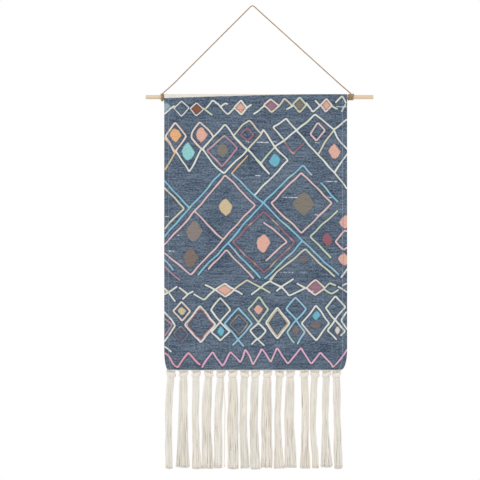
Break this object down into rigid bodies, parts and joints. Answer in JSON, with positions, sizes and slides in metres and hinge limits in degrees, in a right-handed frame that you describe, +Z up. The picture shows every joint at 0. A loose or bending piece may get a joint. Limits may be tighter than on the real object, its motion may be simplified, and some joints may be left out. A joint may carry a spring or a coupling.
{
  "type": "tapestry wall hanging",
  "caption": "Printed canvas tapestry sleeved over a wooden dowel, hung from a jute cord, with a fringe of knotted cotton tassels along its bottom edge.",
  "frame": {"origin": "where the hanging cord bears on its nail: the underside of the cord's highest bend", "axes": "+Z up, +X to the viewer's right, +Y towards the wall; the printed face looks along -Y"},
  "size_m": [0.43, 0.0146, 0.8773],
  "materials": {
    "pine": "matte, sanded, unvarnished",
    "printed_canvas": "matte printed cotton canvas, slightly worn",
    "jute": "rough twisted jute twine",
    "sewing_thread": "polyester sewing thread",
    "ecru_yarn": "soft unbleached cotton yarn"
  },
  "bodies": {
    "hanging_loop": {"hanging_cord": "jute", "left_cord_knot": "jute", "right_cord_knot": "jute"},
    "rod": {"dowel": "pine"},
    "cloth": {"tapestry_panel": "printed_canvas", "rod_pocket": "printed_canvas", "pocket_seam_thread": "sewing_thread", "left_hem_thread": "sewing_thread", "right_hem_thread": "sewing_thread", "bottom_hem_thread": "sewing_thread", "fringe_tape": "ecru_yarn"},
    "tassel_01": {"tassel_knot_01": "ecru_yarn", "tassel_strands_01": "ecru_yarn"},
    "tassel_02": {"tassel_knot_02": "ecru_yarn", "tassel_strands_02": "ecru_yarn"},
    "tassel_03": {"tassel_knot_03": "ecru_yarn", "tassel_strands_03": "ecru_yarn"},
    "tassel_04": {"tassel_knot_04": "ecru_yarn", "tassel_strands_04": "ecru_yarn"},
    "tassel_05": {"tassel_knot_05": "ecru_yarn", "tassel_strands_05": "ecru_yarn"},
    "tassel_06": {"tassel_knot_06": "ecru_yarn", "tassel_strands_06": "ecru_yarn"},
    "tassel_07": {"tassel_knot_07": "ecru_yarn", "tassel_strands_07": "ecru_yarn"},
    "tassel_08": {"tassel_knot_08": "ecru_yarn", "tassel_strands_08": "ecru_yarn"},
    "tassel_09": {"tassel_knot_09": "ecru_yarn", "tassel_strands_09": "ecru_yarn"},
    "tassel_10": {"tassel_knot_10": "ecru_yarn", "tassel_strands_10": "ecru_yarn"},
    "tassel_11": {"tassel_knot_11": "ecru_yarn", "tassel_strands_11": "ecru_yarn"},
    "tassel_12": {"tassel_knot_12": "ecru_yarn", "tassel_strands_12": "ecru_yarn"},
    "tassel_13": {"tassel_knot_13": "ecru_yarn", "tassel_strands_13": "ecru_yarn"},
    "tassel_14": {"tassel_knot_14": "ecru_yarn", "tassel_strands_14": "ecru_yarn"},
    "tassel_15": {"tassel_knot_15": "ecru_yarn", "tassel_strands_15": "ecru_yarn"}
  },
  "joints": [
    {"name": "dowel_turn", "type": "hinge", "parent": "hanging_loop", "child": "rod", "pos_m": [0.0133, 0, -0.1713], "axis": [1, 0, 0], "continuous": true},
    {"name": "cloth_swing", "type": "hinge", "parent": "hanging_loop", "child": "cloth", "pos_m": [0.006, 0, -0.1713], "axis": [1, 0, 0], "range_deg": [-130, 130]},
    {"name": "tassel_swing_01", "type": "hinge", "parent": "cloth", "child": "tassel_01", "pos_m": [-0.1508, 0.0026, -0.689], "axis": [1, 0, 0], "range_deg": [-60, 60]},
    {"name": "tassel_swing_02", "type": "hinge", "parent": "cloth", "child": "tassel_02", "pos_m": [-0.1284, 0.0026, -0.689], "axis": [1, 0, 0], "range_deg": [-60, 60]},
    {"name": "tassel_swing_03", "type": "hinge", "parent": "cloth", "child": "tassel_03", "pos_m": [-0.106, 0.0026, -0.689], "axis": [1, 0, 0], "range_deg": [-60, 60]},
    {"name": "tassel_swing_04", "type": "hinge", "parent": "cloth", "child": "tassel_04", "pos_m": [-0.0836, 0.0026, -0.689], "axis": [1, 0, 0], "range_deg": [-60, 60]},
    {"name": "tassel_swing_05", "type": "hinge", "parent": "cloth", "child": "tassel_05", "pos_m": [-0.0612, 0.0026, -0.689], "axis": [1, 0, 0], "range_deg": [-60, 60]},
    {"name": "tassel_swing_06", "type": "hinge", "parent": "cloth", "child": "tassel_06", "pos_m": [-0.0388, 0.0026, -0.689], "axis": [1, 0, 0], "range_deg": [-60, 60]},
    {"name": "tassel_swing_07", "type": "hinge", "parent": "cloth", "child": "tassel_07", "pos_m": [-0.0164, 0.0026, -0.689], "axis": [1, 0, 0], "range_deg": [-60, 60]},
    {"name": "tassel_swing_08", "type": "hinge", "parent": "cloth", "child": "tassel_08", "pos_m": [0.006, 0.0026, -0.689], "axis": [1, 0, 0], "range_deg": [-60, 60]},
    {"name": "tassel_swing_09", "type": "hinge", "parent": "cloth", "child": "tassel_09", "pos_m": [0.0284, 0.0026, -0.689], "axis": [1, 0, 0], "range_deg": [-60, 60]},
    {"name": "tassel_swing_10", "type": "hinge", "parent": "cloth", "child": "tassel_10", "pos_m": [0.0508, 0.0026, -0.689], "axis": [1, 0, 0], "range_deg": [-60, 60]},
    {"name": "tassel_swing_11", "type": "hinge", "parent": "cloth", "child": "tassel_11", "pos_m": [0.0732, 0.0026, -0.689], "axis": [1, 0, 0], "range_deg": [-60, 60]},
    {"name": "tassel_swing_12", "type": "hinge", "parent": "cloth", "child": "tassel_12", "pos_m": [0.0956, 0.0026, -0.689], "axis": [1, 0, 0], "range_deg": [-60, 60]},
    {"name": "tassel_swing_13", "type": "hinge", "parent": "cloth", "child": "tassel_13", "pos_m": [0.118, 0.0026, -0.689], "axis": [1, 0, 0], "range_deg": [-60, 60]},
    {"name": "tassel_swing_14", "type": "hinge", "parent": "cloth", "child": "tassel_14", "pos_m": [0.1404, 0.0026, -0.689], "axis": [1, 0, 0], "range_deg": [-60, 60]},
    {"name": "tassel_swing_15", "type": "hinge", "parent": "cloth", "child": "tassel_15", "pos_m": [0.1628, 0.0026, -0.689], "axis": [1, 0, 0], "range_deg": [-60, 60]}
  ]
}
